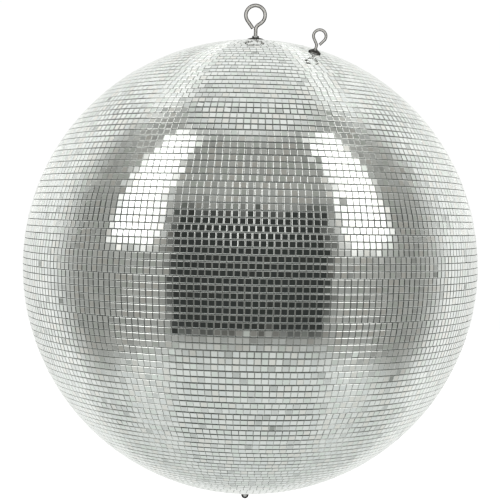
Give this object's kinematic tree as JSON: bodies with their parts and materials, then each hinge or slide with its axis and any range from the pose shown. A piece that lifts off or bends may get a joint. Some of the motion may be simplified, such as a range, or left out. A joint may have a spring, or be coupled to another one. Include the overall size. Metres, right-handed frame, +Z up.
{
  "type": "mirror ball",
  "caption": "Hollow two-part ball faced with rows of square mirror facets, hung from a swivelling wire eye, with a second eye for a safety tether and a domed nut below.",
  "frame": {"origin": "the point inside the top of the main eye where a hook bears, on the spin axis of the ball", "axes": "+Z up along the spin axis; +X to the right of the pictured view; -Y towards the viewer"},
  "size_m": [0.75, 0.75, 0.8282],
  "materials": {
    "mirror_facets": "back-silvered glass with ground edges",
    "shell_plastic": "moulded dark plastic",
    "splice_plastic": "moulded dark plastic",
    "plated_wire": "bright zinc plate, drawn wire",
    "plated_fasteners": "bright zinc plate",
    "cover_plating": "nickel plate",
    "bush_plastic": "natural acetal",
    "hub_casting": "die cast",
    "spine_tube": "extruded, mill finish"
  },
  "bodies": {
    "hanger": {"main_eye": "plated_wire", "eye_collar_nut": "plated_fasteners", "swivel_thrust_washer": "plated_fasteners", "swivel_lock_nut": "plated_fasteners"},
    "ball": {"tile_rows_lower_8": "mirror_facets", "tile_rows_lower_7": "mirror_facets", "tile_rows_lower_6": "mirror_facets", "tile_rows_lower_5": "mirror_facets", "tile_rows_lower_4": "mirror_facets", "tile_rows_lower_3": "mirror_facets", "tile_rows_lower_2": "mirror_facets", "tile_rows_lower_1": "mirror_facets", "tile_rows_upper_1": "mirror_facets", "tile_rows_upper_2": "mirror_facets", "tile_rows_upper_3": "mirror_facets", "tile_rows_upper_4": "mirror_facets", "tile_rows_upper_5": "mirror_facets", "tile_rows_upper_6": "mirror_facets", "tile_rows_upper_7": "mirror_facets", "tile_rows_upper_8": "mirror_facets", "upper_shell": "shell_plastic", "lower_shell": "shell_plastic", "equator_splice_band": "splice_plastic", "safety_eye": "plated_wire", "swivel_bush": "bush_plastic", "top_hub": "hub_casting", "bottom_hub": "hub_casting", "centre_tube": "spine_tube", "top_hub_screws": "plated_fasteners", "bottom_hub_screws": "plated_fasteners", "top_clamp_washer": "plated_fasteners", "top_clamp_nut": "plated_fasteners", "top_cover": "cover_plating", "bottom_stud": "plated_fasteners", "bottom_washer": "plated_fasteners", "bottom_spring_washer": "plated_fasteners", "bottom_cap_nut": "plated_fasteners", "bottom_inner_nut": "plated_fasteners", "safety_cover": "cover_plating", "safety_backing_plate": "plated_fasteners", "safety_washer": "plated_fasteners", "safety_lock_nut": "plated_fasteners"}
  },
  "joints": [
    {"name": "ball_spin", "type": "hinge", "parent": "hanger", "child": "ball", "pos_m": [0, 0, -0.0631], "axis": [0, 0, 1], "continuous": true}
  ]
}
